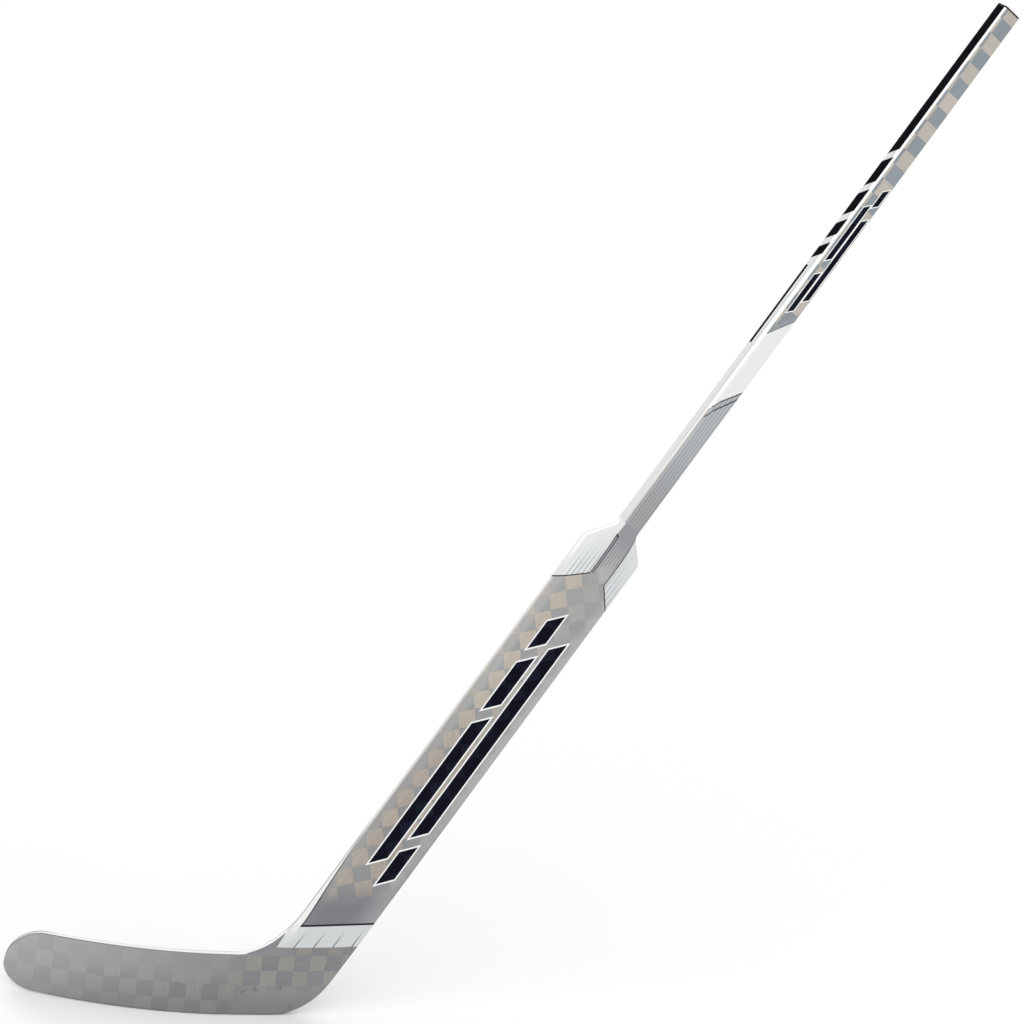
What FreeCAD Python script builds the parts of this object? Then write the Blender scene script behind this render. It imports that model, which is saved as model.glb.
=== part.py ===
"""Hockey goalie stick, standing as it is played, with its blade flat on the ice.

A hollow shaft tube is bonded by its tenon into a foam-cored paddle.  The paddle's shells meet the
shells of the curved blade above the heel, over an insert that bridges the joint.
Lengths are in millimetres and angles in degrees.  +Z is up, the toe points to -X, and the convex
backhand face looks to -Y.  The origin is in the middle of the shaft, just above the paddle, where
the hand holds it.
"""
import FreeCAD
import Part
import Sketcher
import math
import os

from FreeCAD import Placement, Rotation, Vector

# Driving sizes

SIZES = [
    ("lie", 62.0, "angle between the shaft and the ice"),
    ("overall_length", 1536.0, "heel corner to butt end, along the shaft"),
    ("shaft_width", 29.5, "shaft, across its wide face"),
    ("shaft_depth", 20.0, "shaft, across its narrow side"),
    ("shaft_corner", 4.0, "radius of the shaft's long edges"),
    ("shaft_wall", 1.6, "wall of the shaft tube"),
    ("bore_floor", 6.0, "solid stretch of shaft above the tenon"),
    ("tenon_length", 150.0, "tenon inside the paddle"),
    ("tenon_wall", 1.5, "wall of the tenon"),
    ("stop_length", 35.0, "foam stopper in the tenon"),
    ("plug_rim", 2.5, "rim of the butt end plug"),
    ("plug_round", 1.2, "rounding of the plug's outer edge"),
    ("plug_spigot", 26.0, "spigot of the plug inside the shaft"),
    ("plug_wall", 2.0, "wall of the spigot"),
    ("paddle_width", 88.9, "paddle, across its face"),
    ("paddle_depth", 25.4, "paddle, from face to face"),
    ("paddle_corner", 4.5, "radius of the paddle's long edges"),
    ("paddle_length", 728.0, "heel corner to the top of the shoulders"),
    ("paddle_web_wall", 2.0, "web between the paddle's foam boards"),
    ("leading_slope", 33.0, "leading shoulder, along the shaft"),
    ("trailing_slope", 26.0, "trailing shoulder, along the shaft"),
    ("shoulder_crown", 12.0, "outer radius at the top of the paddle"),
    ("shoulder_root", 10.0, "inner radius where the slope meets the neck"),
    ("neck_length", 8.0, "neck above the shoulders, up to the shaft joint"),
    ("skin_wall", 1.2, "wall of the paddle and blade shells"),
    ("bond_gap", 0.1, "glue line between bonded pieces"),
    ("notch_radius", 108.0, "inside curve from blade to paddle"),
    ("heel_radius", 80.0, "outside curve of the heel"),
    ("heel_heading", 8.0, "turn of the blade at the end of the heel"),
    ("insert_paddle_run", 40.0, "heel insert inside the paddle"),
    ("insert_blade_run", 25.0, "heel insert inside the blade"),
    ("blade_arc", 276.0, "blade from the end of the heel to the tip of the toe"),
    ("blade_bend_radius", 600.0, "radius of the blade's curve, seen from above"),
    ("blade_heel_height", 84.5, "blade height at the heel"),
    ("blade_toe_height", 81.0, "blade height at the toe, before its rounding"),
    ("blade_heel_depth", 9.5, "blade thickness at the heel"),
    ("blade_toe_depth", 7.0, "blade thickness at the toe"),
    ("blade_rocker", 2.0, "lift of the sole at the toe"),
    ("blade_corner", 3.0, "radius of the blade's edges"),
    ("blade_web_wall", 2.0, "web between the blade's foam cores"),
    ("toe_crown", 46.0, "length of the toe's upper rounding"),
    ("toe_sole", 40.0, "length of the toe's lower rounding"),
    ("toe_tip_height", 35.0, "height of the toe's tip above the ice"),
    ("toe_solid", 15.0, "solid laminate at the end of the toe"),
    ("grip_rise", 50.0, "hand's middle above the shaft joint"),
]

doc = FreeCAD.newDocument("goalie_stick")
sheet = doc.addObject("Spreadsheet::Sheet", "Sizes")
for row, (alias, value, note) in enumerate(SIZES, start=1):
    sheet.set(f"A{row}", note)
    sheet.set(f"B{row}", str(value))
    sheet.setAlias(f"B{row}", alias)
doc.recompute()


def size(alias):
    return float(sheet.get(alias))


# Shares: how a shape is divided, whatever its size

SHOULDER_STATION_COUNT = 15
HEEL_STATION_COUNT = 11
ROOT_STATION_COUNT = 3
BLADE_STATION_COUNT = 9
TOE_STATION_COUNT = 5
NOSE_STATION_COUNT = 6
TIP_SHARE = 0.17
CORNER_LIMIT_SHARE = 0.8
INNER_CORNER_SHARE = 0.2
ARC_MIDDLE_SHARE = 1 - math.sqrt(0.5)


def mix(start, end, share):
    return start + (end - start) * share


def eased(share):
    """Smooth step from 0 to 1 that leaves and arrives level."""
    return share * share * (3 - 2 * share)


# Directions and places in the upright stick, measured from the heel corner on the ice

LIE = math.radians(size("lie"))
UP_SHAFT = Vector(math.cos(LIE), 0, math.sin(LIE))
TO_LEADING = Vector(-math.sin(LIE), 0, math.cos(LIE))
TO_BACKHAND = Vector(0, -1, 0)
TO_FOREHAND = Vector(0, 1, 0)
TO_ICE = Vector(0, 0, -1)

AXIS_FOOT = TO_LEADING * (size("paddle_width") / 2)
SEAM = size("paddle_length") + size("neck_length")
GRIP = AXIS_FOOT + UP_SHAFT * (SEAM + size("grip_rise"))

NOTCH_RUN = size("notch_radius") * math.tan(LIE / 2)
NOTCH_CORNER_RISE = (size("blade_heel_height") - size("paddle_width") * math.cos(LIE)) / math.sin(LIE)
PADDLE_FOOT = NOTCH_CORNER_RISE + NOTCH_RUN
HEEL_PIVOT = (TO_LEADING * (size("paddle_width") + size("notch_radius"))
              + UP_SHAFT * PADDLE_FOOT)
HEEL_HEADING = math.radians(size("heel_heading"))
HEEL_RUN = (size("notch_radius") + size("paddle_width") / 2) * LIE
HEEL_DRIFT = HEEL_RUN * HEEL_HEADING / 3

SHOULDER_STEP = (size("paddle_width") - size("shaft_width")) / 2


def slope_angle(slope):
    return math.atan2(SHOULDER_STEP, slope)


def round_run(radius, slope):
    """Length of the straight that a rounding takes at either end of a shoulder's slope."""
    return radius * math.tan(slope_angle(slope) / 2)


SLOPES = (size("leading_slope"), size("trailing_slope"))
PADDLE_TOP = size("paddle_length") - max(
    slope + round_run(size("shoulder_crown"), slope) for slope in SLOPES)

ON_ICE = Placement(-GRIP, Rotation())
ALONG_SHAFT = Placement(AXIS_FOOT - GRIP, Rotation(TO_FOREHAND, 90 - size("lie")))


# Cross-sections of paddle, heel and blade

class Station:
    """One cross-section: its middle, the ways across it and out of its backhand face, its half sizes."""

    def __init__(self, middle, across, outward, half_width, half_depth, corner):
        self.middle = middle
        self.across = across
        self.outward = outward
        self.half_width = half_width
        self.half_depth = half_depth
        self.corner = min(corner, CORNER_LIMIT_SHARE * half_depth)
        self.inner_corner = max(self.corner - size("skin_wall"), INNER_CORNER_SHARE * self.corner)

    def point(self, across, out):
        return self.middle + self.across * across + self.outward * out


def shoulder_half_width(rise, slope):
    """Half width of one side of the paddle: straight, round crown, slope, round root, neck."""
    wide = size("paddle_width") / 2
    narrow = size("shaft_width") / 2
    crown = size("shoulder_crown")
    root = size("shoulder_root")
    angle = slope_angle(slope)
    past_crown = rise - (size("paddle_length") - slope - round_run(crown, slope))
    before_neck = size("paddle_length") + round_run(root, slope) - rise
    if past_crown <= 0:
        return wide
    if before_neck <= 0:
        return narrow
    if past_crown < crown * math.sin(angle):
        return wide - crown + math.sqrt(crown ** 2 - past_crown ** 2)
    if before_neck < root * math.sin(angle):
        return narrow + root - math.sqrt(root ** 2 - before_neck ** 2)
    return narrow + (size("paddle_length") - rise) * math.tan(angle)


def paddle_station(rise):
    """Section of the paddle, at a height along the shaft above the heel corner."""
    share = eased(min(max((rise - PADDLE_TOP) / (SEAM - PADDLE_TOP), 0), 1))
    half_depth = mix(size("paddle_depth"), size("shaft_depth"), share) / 2
    corner = mix(size("paddle_corner"), size("shaft_corner"), share)
    leading, trailing = (shoulder_half_width(rise, slope) for slope in SLOPES)
    middle = AXIS_FOOT + UP_SHAFT * rise - TO_LEADING * ((trailing - leading) / 2)
    return Station(middle, -TO_LEADING, TO_BACKHAND, (leading + trailing) / 2, half_depth, corner)


def heel_reach(across, turn):
    """Distance from the pivot of the heel to its outer edge, in the direction across."""
    to_edge = (size("notch_radius") + size("paddle_width")) / math.cos(turn)
    to_ice = (size("notch_radius") + size("blade_heel_height")) / math.cos(LIE - turn)
    straight = min(to_edge, to_ice)
    if (HEEL_PIVOT + across * straight).Length >= size("heel_radius") * math.tan(LIE / 2):
        return straight
    bisector = Vector(math.cos((math.pi + LIE) / 2), 0, math.sin((math.pi + LIE) / 2))
    to_centre = bisector * (size("heel_radius") / math.cos(LIE / 2)) - HEEL_PIVOT
    beside = (to_centre - across * to_centre.dot(across)).Length
    return to_centre.dot(across) + math.sqrt(size("heel_radius") ** 2 - beside ** 2)


def heel_station(share):
    """Section of the heel, fanned about the pivot from the paddle (0) to the blade (1).

    Its heading grows with the square of the share, and the drift to the forehand is that heading's sum.
    """
    turn = LIE * share
    angle = LIE - math.pi / 2 - turn
    across = Vector(math.cos(angle), 0, math.sin(angle))
    onward = Vector(math.sin(angle), 0, -math.cos(angle))
    heading = HEEL_HEADING * share ** 2
    drift = HEEL_DRIFT * share ** 3
    half_width = (heel_reach(across, turn) - size("notch_radius")) / 2
    half_depth = mix(size("paddle_depth"), size("blade_heel_depth"), eased(share)) / 2
    corner = mix(size("paddle_corner"), size("blade_corner"), share)
    middle = HEEL_PIVOT + across * (size("notch_radius") + half_width) + TO_FOREHAND * drift
    outward = TO_BACKHAND * math.cos(heading) + onward * math.sin(heading)
    return Station(middle, across, outward, half_width, half_depth, corner)


def rounding(run, from_tip):
    """Share of the full height that an elliptic end leaves, at a distance from its tip."""
    if from_tip >= run:
        return 1
    return math.sqrt(1 - ((run - from_tip) / run) ** 2)


def blade_station(run):
    """Upright section of the blade, at a distance along its curve from the end of the heel."""
    bend = size("blade_bend_radius")
    heading = HEEL_HEADING + run / bend
    from_tip = size("blade_arc") - run
    along = run / size("blade_arc")
    tip = size("toe_tip_height")
    top = mix(size("blade_heel_height"), size("blade_toe_height"), along)
    top = mix(tip, top, rounding(size("toe_crown"), from_tip))
    sole = mix(tip, size("blade_rocker") * along ** 2, rounding(size("toe_sole"), from_tip))
    depth = mix(size("blade_heel_depth"), size("blade_toe_depth"), along)
    depth = depth * rounding(size("blade_corner"), from_tip)
    middle = Vector(HEEL_PIVOT.x - bend * (math.sin(heading) - math.sin(HEEL_HEADING)),
                    HEEL_DRIFT + bend * (math.cos(HEEL_HEADING) - math.cos(heading)),
                    (top + sole) / 2)
    outward = Vector(-math.sin(heading), -math.cos(heading), 0)
    return Station(middle, TO_ICE, outward, (top - sole) / 2, depth / 2, size("blade_corner"))


# Where the sections stand

def evenly(start, end, count):
    return [mix(start, end, index / (count - 1)) for index in range(count)]


ROOT_END = size("insert_blade_run")
TOE_START = size("blade_arc") - size("toe_crown")
NOSE_START = size("blade_arc") - size("toe_solid")


def heel_stations():
    return [heel_station(share) for share in evenly(0, 1, HEEL_STATION_COUNT)]


def root_stations():
    """The stretch of blade that the heel insert reaches into."""
    return [blade_station(run) for run in evenly(0, ROOT_END, ROOT_STATION_COUNT)]


def blade_stations():
    return [blade_station(run) for run in evenly(ROOT_END, TOE_START, BLADE_STATION_COUNT)]


def toe_stations():
    return [blade_station(run) for run in evenly(TOE_START, NOSE_START, TOE_STATION_COUNT)]


def nose_stations():
    """Stations that close up towards the tip, so that its outline turns evenly from one to the next."""
    shares = evenly(1, TIP_SHARE, NOSE_STATION_COUNT)
    return [blade_station(size("blade_arc") - size("toe_solid") * share ** 2) for share in shares]


# Solids through cross-sections

def outline(station, corners):
    """Closed wire through square corners, each given as (across, out, radius)."""
    edges = []
    starts = []
    ends = []
    for index, (across, out, radius) in enumerate(corners):
        tip = station.point(across, out)
        before = station.point(*corners[index - 1][:2]) - tip
        after = station.point(*corners[(index + 1) % len(corners)][:2]) - tip
        before.normalize()
        after.normalize()
        starts.append(tip + before * radius)
        ends.append(tip + after * radius)
        if index > 0:
            edges.append(Part.LineSegment(ends[index - 1], starts[index]).toShape())
        if radius > 0:
            middle = tip + (before + after) * (radius * ARC_MIDDLE_SHARE)
            edges.append(Part.Arc(starts[index], middle, ends[index]).toShape())
    edges.append(Part.LineSegment(ends[-1], starts[0]).toShape())
    return Part.Wire(edges)


def lofted(stations, corners_of, ruled=False):
    """Solid through the same outline at each station."""
    return Part.makeLoft([outline(station, corners_of(station)) for station in stations], True, ruled)


def half_shell(side):
    """Outline of one half-shell: its outer face, its two edges down to the mid-plane, its inside."""
    def corners(station):
        wide, deep = station.half_width, station.half_depth
        inside = wide - size("skin_wall")
        under = (deep - size("skin_wall")) * side
        seam = size("bond_gap") / 2 * side
        deep = deep * side
        return [(-wide, seam, 0), (-wide, deep, station.corner), (wide, deep, station.corner),
                (wide, seam, 0), (inside, seam, 0), (inside, under, station.inner_corner),
                (-inside, under, station.inner_corner), (-inside, seam, 0)]
    return corners


def half_nose(side):
    """Outline of one half of the solid toe."""
    def corners(station):
        wide, deep = station.half_width, station.half_depth * side
        seam = size("bond_gap") / 2 * side
        return [(-wide, seam, 0), (-wide, deep, station.corner), (wide, deep, station.corner),
                (wide, seam, 0)]
    return corners


def filling(station):
    """Outline of a piece that fills the shells, less the glue line."""
    wide = station.half_width - size("skin_wall") - size("bond_gap")
    deep = station.half_depth - size("skin_wall") - size("bond_gap")
    radius = station.inner_corner
    return [(-wide, -deep, radius), (-wide, deep, radius), (wide, deep, radius), (wide, -deep, radius)]


def blade_core(side):
    """Outline of one foam core, above (-1) or below (1) the blade's web."""
    def corners(station):
        edge = (station.half_width - size("skin_wall") - size("bond_gap")) * side
        inner = (size("blade_web_wall") / 2 + size("bond_gap")) * side
        deep = station.half_depth - size("skin_wall") - size("bond_gap")
        radius = station.inner_corner
        return [(edge, -deep, radius), (edge, deep, radius), (inner, deep, 0), (inner, -deep, 0)]
    return corners


def blade_web_outline(station):
    thick = size("blade_web_wall") / 2
    deep = station.half_depth - size("skin_wall") - size("bond_gap")
    return [(-thick, -deep, 0), (-thick, deep, 0), (thick, deep, 0), (thick, -deep, 0)]


NODES = []


def keep(feature, label):
    feature.Label = label
    NODES.append(feature)
    return feature


def moulded(label, shape):
    """A node whose shape is a moulding through cross-sections."""
    feature = doc.addObject("Part::Feature", label)
    feature.Shape = shape
    feature.Placement = ON_ICE
    return keep(feature, label)


def joined(*shapes):
    return shapes[0].fuse(list(shapes[1:])).removeSplitter()


# Bodies along the shaft, from sketches whose sizes are formulas of the sheet

AT_SEAM = "(Sizes.paddle_length + Sizes.neck_length)"
AT_TENON_END = f"({AT_SEAM} - Sizes.tenon_length)"
AT_BUTT = "(Sizes.overall_length - Sizes.plug_rim)"
AT_PADDLE_FOOT = ("((Sizes.blade_heel_height - Sizes.paddle_width * cos(Sizes.lie * 1deg))"
                  " / sin(Sizes.lie * 1deg) + Sizes.notch_radius * tan(Sizes.lie / 2 * 1deg))")
SHOULDER_RUNS = [f"Sizes.{slope} + Sizes.shoulder_crown"
                 f" * tan(atan((Sizes.paddle_width - Sizes.shaft_width) / 2 / Sizes.{slope}) / 2)"
                 for slope in ("leading_slope", "trailing_slope")]
AT_PADDLE_TOP = f"(Sizes.paddle_length - max({SHOULDER_RUNS[0]}; {SHOULDER_RUNS[1]}))"
AT_BOARD_START = f"({AT_PADDLE_FOOT} + Sizes.insert_paddle_run + Sizes.bond_gap)"
SLEEVE_WIDTH = "(Sizes.shaft_width - 2 * Sizes.skin_wall)"
SLEEVE_DEPTH = "(Sizes.shaft_depth - 2 * Sizes.skin_wall)"
TENON_WIDTH = f"({SLEEVE_WIDTH} - 2 * Sizes.bond_gap)"
TENON_DEPTH = f"({SLEEVE_DEPTH} - 2 * Sizes.bond_gap)"
BORE_WIDTH = "(Sizes.shaft_width - 2 * Sizes.shaft_wall)"
BORE_DEPTH = "(Sizes.shaft_depth - 2 * Sizes.shaft_wall)"
TENON_BORE_WIDTH = f"({TENON_WIDTH} - 2 * Sizes.tenon_wall)"
TENON_BORE_DEPTH = f"({TENON_DEPTH} - 2 * Sizes.tenon_wall)"
BOARD_DEPTH = "(Sizes.paddle_depth - 2 * Sizes.skin_wall - 2 * Sizes.bond_gap)"


def inner_corner(outer, wall):
    """Formula for a corner inside a wall: rounded about the same middle, or a share of the outer one."""
    return f"max({outer} - {wall}; {INNER_CORNER_SHARE} * {outer})"


SLEEVE_CORNER = inner_corner("Sizes.shaft_corner", "Sizes.skin_wall")
TENON_CORNER = inner_corner(SLEEVE_CORNER, "Sizes.bond_gap")
TENON_BORE_CORNER = inner_corner(TENON_CORNER, "Sizes.tenon_wall")
BORE_CORNER = inner_corner("Sizes.shaft_corner", "Sizes.shaft_wall")
SPIGOT_CORNER = inner_corner(BORE_CORNER, "Sizes.bond_gap")


def shaft_body(label):
    """A node that is built square to the shaft, from its own sketches."""
    body = doc.addObject("PartDesign::Body", label)
    body.Placement = ALONG_SHAFT
    return keep(body, label)


START, END, CENTRE = 1, 2, 3  # points of an edge, in a sketch's constraints


def section(body, name, width, depth, corner, rise, aside="0"):
    """Sketch of a rectangle with round corners, centred aside of the shaft's axis."""
    sketch = body.newObject("Sketcher::SketchObject", name)
    plane = next(item for item in body.Origin.OriginFeatures if item.Role == "XY_Plane")
    sketch.AttachmentSupport = [(plane, "")]
    sketch.MapMode = "FlatFace"
    sketch.setExpression("AttachmentOffset.Base.x", aside)
    sketch.setExpression("AttachmentOffset.Base.z", rise)
    radius = size("shaft_corner")
    right = size("shaft_width") / 2
    top = size("shaft_depth") / 2
    middles = [(right - radius, top - radius), (right - radius, radius - top),
               (radius - right, radius - top), (radius - right, top - radius)]
    arcs = range(len(middles))
    right_line, lower_line, left_line, upper_line = (arc + len(middles) for arc in arcs)
    for arc, (x, y) in enumerate(middles):
        turn = -arc * math.pi / 2
        circle = Part.Circle(Vector(x, y), Vector(0, 0, 1), radius)
        sketch.addGeometry(Part.ArcOfCircle(circle, turn, turn + math.pi / 2))
    for arc in arcs:
        before = sketch.Geometry[arc].StartPoint
        after = sketch.Geometry[(arc + 1) % len(middles)].EndPoint
        sketch.addGeometry(Part.LineSegment(before, after))
    for arc, line in zip(arcs, (right_line, lower_line, left_line, upper_line)):
        sketch.addConstraint(Sketcher.Constraint("Tangent", arc, START, line, START))
        sketch.addConstraint(Sketcher.Constraint("Tangent", line, END, (arc + 1) % len(middles), END))
    for line in (right_line, left_line):
        sketch.addConstraint(Sketcher.Constraint("Vertical", line))
    for line in (lower_line, upper_line):
        sketch.addConstraint(Sketcher.Constraint("Horizontal", line))
    for arc in arcs[1:]:
        sketch.addConstraint(Sketcher.Constraint("Equal", arcs[0], arc))
    sketch.addConstraint(Sketcher.Constraint("Symmetric", arcs[0], CENTRE, arcs[2], CENTRE, -1, START))
    sized = [(Sketcher.Constraint("DistanceX", left_line, START, right_line, START, 2 * right), width),
             (Sketcher.Constraint("DistanceY", lower_line, START, upper_line, START, 2 * top), depth),
             (Sketcher.Constraint("Radius", arcs[0], radius), corner)]
    for constraint, formula in sized:
        index = sketch.addConstraint(constraint)
        sketch.setExpression(f"Constraints[{index}]", formula)
    return sketch


def pad(body, name, sketch, length, downwards=False):
    feature = body.newObject("PartDesign::Pad", name)
    feature.Profile = sketch
    feature.setExpression("Length", length)
    feature.Reversed = downwards
    doc.recompute()
    return feature


def pocket(body, name, sketch, depth, upwards=False):
    """A cut down the shaft from its sketch, or up it, that has to take material away."""
    before = body.Shape.Volume
    feature = body.newObject("PartDesign::Pocket", name)
    feature.Profile = sketch
    feature.setExpression("Length", depth)
    feature.Reversed = upwards
    doc.recompute()
    if not body.Shape.Volume < before:
        raise RuntimeError(f"{name} cuts nothing")
    return feature


def shaft_tube():
    """Hollow shaft: its tenon below the joint, the full section above, and a bore in each."""
    body = shaft_body("shaft_tube")
    pad(body, "shaft", section(body, "shaft_outline", "Sizes.shaft_width", "Sizes.shaft_depth",
                               "Sizes.shaft_corner", AT_SEAM), f"{AT_BUTT} - {AT_SEAM}")
    pad(body, "tenon", section(body, "tenon_outline", TENON_WIDTH, TENON_DEPTH, TENON_CORNER,
                               AT_SEAM), "Sizes.tenon_length", downwards=True)
    pocket(body, "bore", section(body, "bore_outline", BORE_WIDTH, BORE_DEPTH, BORE_CORNER, AT_BUTT),
           f"{AT_BUTT} - {AT_SEAM} - Sizes.bore_floor")
    pocket(body, "tenon_bore", section(body, "tenon_bore_outline", TENON_BORE_WIDTH, TENON_BORE_DEPTH,
                                       TENON_BORE_CORNER, AT_TENON_END),
           "Sizes.tenon_length", upwards=True)


def tenon_stop():
    """Foam stopper, flush with the lower end of the tenon."""
    body = shaft_body("tenon_stop")
    pad(body, "stop", section(body, "stop_outline", f"{TENON_BORE_WIDTH} - 2 * Sizes.bond_gap",
                              f"{TENON_BORE_DEPTH} - 2 * Sizes.bond_gap",
                              inner_corner(TENON_BORE_CORNER, "Sizes.bond_gap"), AT_TENON_END),
        "Sizes.stop_length")


def butt_end_plug():
    """End plug: a rim as wide as the shaft, with a rounded edge, and a hollow spigot in the bore."""
    body = shaft_body("butt_end_plug")
    rim = pad(body, "rim", section(body, "rim_outline", "Sizes.shaft_width", "Sizes.shaft_depth",
                                   "Sizes.shaft_corner", AT_BUTT), "Sizes.plug_rim")
    end = max(edge.BoundBox.ZMax for edge in rim.Shape.Edges)
    upper = [f"Edge{index}" for index, edge in enumerate(rim.Shape.Edges, start=1)
             if math.isclose(edge.BoundBox.ZMin, end) and math.isclose(edge.BoundBox.ZMax, end)]
    rounded = body.newObject("PartDesign::Fillet", "rim_rounding")
    rounded.Base = (rim, upper)
    rounded.setExpression("Radius", "Sizes.plug_round")
    doc.recompute()
    spigot_width = f"{BORE_WIDTH} - 2 * Sizes.bond_gap"
    spigot_depth = f"{BORE_DEPTH} - 2 * Sizes.bond_gap"
    pad(body, "spigot", section(body, "spigot_outline", spigot_width, spigot_depth, SPIGOT_CORNER,
                                AT_BUTT), "Sizes.plug_spigot", downwards=True)
    pocket(body, "spigot_bore", section(body, "spigot_bore_outline",
                                        f"{spigot_width} - 2 * Sizes.plug_wall",
                                        f"{spigot_depth} - 2 * Sizes.plug_wall",
                                        inner_corner(SPIGOT_CORNER, "Sizes.plug_wall"),
                                        f"{AT_BUTT} - Sizes.plug_spigot"),
           "Sizes.plug_spigot", upwards=True)


def paddle_board(label, side):
    """Foam board beside the web, on the leading (-1) or trailing (1) side, with room for the tenon."""
    body = shaft_body(label)
    inner = "(Sizes.paddle_web_wall / 2 + Sizes.bond_gap)"
    outer = "(Sizes.paddle_width / 2 - Sizes.skin_wall - Sizes.bond_gap)"
    pad(body, "board", section(body, "board_outline", f"{outer} - {inner}", BOARD_DEPTH,
                               inner_corner("Sizes.paddle_corner", "Sizes.skin_wall"), AT_BOARD_START,
                               f"{side} * ({outer} + {inner}) / 2"),
        f"{AT_PADDLE_TOP} - {AT_BOARD_START}")
    pocket(body, "tenon_pocket", section(body, "tenon_pocket_outline", SLEEVE_WIDTH, SLEEVE_DEPTH,
                                         TENON_CORNER, AT_PADDLE_TOP),
           f"{AT_PADDLE_TOP} - {AT_TENON_END} + Sizes.bond_gap")


def paddle_web():
    """Flat web between the foam boards, from the heel insert to the tenon."""
    web = doc.addObject("Part::Box", "paddle_web")
    web.setExpression("Length", "Sizes.paddle_web_wall")
    web.setExpression("Width", BOARD_DEPTH)
    web.setExpression("Height", f"{AT_TENON_END} - Sizes.bond_gap - {AT_BOARD_START}")
    doc.recompute()
    start = PADDLE_FOOT + size("insert_paddle_run") + size("bond_gap")
    corner = Vector(-web.Length.Value / 2, -web.Width.Value / 2, start)
    web.Placement = ALONG_SHAFT.multiply(Placement(corner, Rotation()))
    keep(web, "paddle_web")


# Mouldings

def paddle_shell(label, side):
    """Half-shell of the paddle's straight run, its shoulders and its neck."""
    straight = lofted([paddle_station(PADDLE_FOOT), paddle_station(PADDLE_TOP)], half_shell(side), True)
    rises = evenly(PADDLE_TOP, SEAM, SHOULDER_STATION_COUNT)
    shoulders = lofted([paddle_station(rise) for rise in rises], half_shell(side))
    moulded(label, joined(straight, shoulders))


def blade_shell(label, side):
    """Half-shell of heel and blade, closed by a solid toe."""
    runs = [heel_stations(), root_stations(), blade_stations(), toe_stations()]
    hollow = [lofted(stations, half_shell(side)) for stations in runs]
    nose = lofted(nose_stations(), half_nose(side))
    moulded(label, joined(*hollow, nose))


def heel_insert():
    """Filler of the heel, which reaches into the paddle and the blade to bridge their joint."""
    upper = [paddle_station(PADDLE_FOOT), paddle_station(PADDLE_FOOT + size("insert_paddle_run"))]
    moulded("heel_insert", joined(lofted(upper, filling, True), lofted(heel_stations(), filling),
                                  lofted(root_stations(), filling)))


def blade_inside(label, corners_of):
    """Piece inside the blade, end to end with the heel insert and the solid toe."""
    moulded(label, joined(lofted(blade_stations(), corners_of), lofted(toe_stations(), corners_of)))


shaft_tube()
butt_end_plug()
tenon_stop()
paddle_shell("paddle_backhand_shell", 1)
paddle_shell("paddle_forehand_shell", -1)
paddle_board("paddle_leading_core", -1)
paddle_board("paddle_trailing_core", 1)
paddle_web()
heel_insert()
blade_shell("blade_backhand_shell", 1)
blade_shell("blade_forehand_shell", -1)
blade_inside("blade_upper_core", blade_core(-1))
blade_inside("blade_lower_core", blade_core(1))
blade_inside("blade_web", blade_web_outline)
doc.recompute()

# Nothing is written unless every object is sound

for item in doc.Objects:
    if {"Invalid", "Error"} & set(item.State):
        raise RuntimeError(f"{item.Label} failed: {item.State}")
for node in NODES:
    if node.Shape.isNull() or not node.Shape.isValid() or len(node.Shape.Solids) != 1:
        raise RuntimeError(f"{node.Label} is not one valid solid")

os.makedirs("parts", exist_ok=True)
for node in NODES:
    node.Shape.exportStep(f"parts/{node.Label}.step")
    print(f"{node.Label}: {node.Shape.Volume:.0f} mm3")
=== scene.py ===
# %% [markdown]
# # A painted composite goalie stick
#
# The solid pieces of the stick come ready made from a CAD model. This lesson gives them
# their surfaces, stands them on a studio floor, lights them and photographs them.
#
# The stick leans, so most of the work is easier in its own directions than in X, Y and Z:
#
# * **along** the shaft, from the heel up to the butt end
# * **across** it, towards the leading edge, the one on the blade's side
# * **depth**, through it, from the backhand face to the forehand face
#
# Every graphic on the stick is drawn in those three, in millimetres.

# %% Load the stick
import math

import bmesh
import bpy
from mathutils import Matrix, Vector

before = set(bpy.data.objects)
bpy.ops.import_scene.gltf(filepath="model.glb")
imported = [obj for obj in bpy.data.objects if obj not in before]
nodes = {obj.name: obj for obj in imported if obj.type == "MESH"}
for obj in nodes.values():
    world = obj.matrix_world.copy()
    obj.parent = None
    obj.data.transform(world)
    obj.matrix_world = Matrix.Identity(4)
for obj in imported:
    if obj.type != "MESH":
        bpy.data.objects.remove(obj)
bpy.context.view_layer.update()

print("CAD nodes:", ", ".join(sorted(nodes)))

# %% [markdown]
# ## The stick's own directions
#
# A stick's *lie* is the angle between shaft and ice when the blade lies flat. The model's
# origin sits on the shaft, where a hand holds it, 786 mm from the corner of the heel.
#
# `reach` measures the stick in a direction, so that the graphics fit the model's own sizes.

# %% The stick's own directions
LIE = math.radians(62)
GRIP_ALONG = 786

SHAFT = Vector((math.cos(LIE), 0, math.sin(LIE)))
LEADING = Vector((-math.sin(LIE), 0, math.cos(LIE)))
BACKHAND = Vector((0, -1, 0))


def reach(node, direction):
    """How far a CAD node reaches in a direction, in millimetres."""
    points = nodes[node].data.vertices
    return round(1000 * max(point.co.dot(direction) for point in points), 2)


SHAFT_HALF_WIDTH, SHAFT_HALF_DEPTH = (reach("shaft_tube", way) for way in (LEADING, BACKHAND))
PADDLE_HALF_WIDTH = reach("paddle_backhand_shell", LEADING)
PADDLE_HALF_DEPTH = reach("paddle_backhand_shell", BACKHAND)
print("half width of shaft and paddle:", SHAFT_HALF_WIDTH, PADDLE_HALF_WIDTH, "mm")

# %% [markdown]
# ## Two small helpers
#
# `srgb` turns a colour as a paint program writes it into the linear numbers that a
# renderer adds and multiplies. `add` puts one shader node into a material: a socket among
# its inputs becomes a link and anything else a fixed value, so a whole pattern reads like
# a sum.

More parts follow.
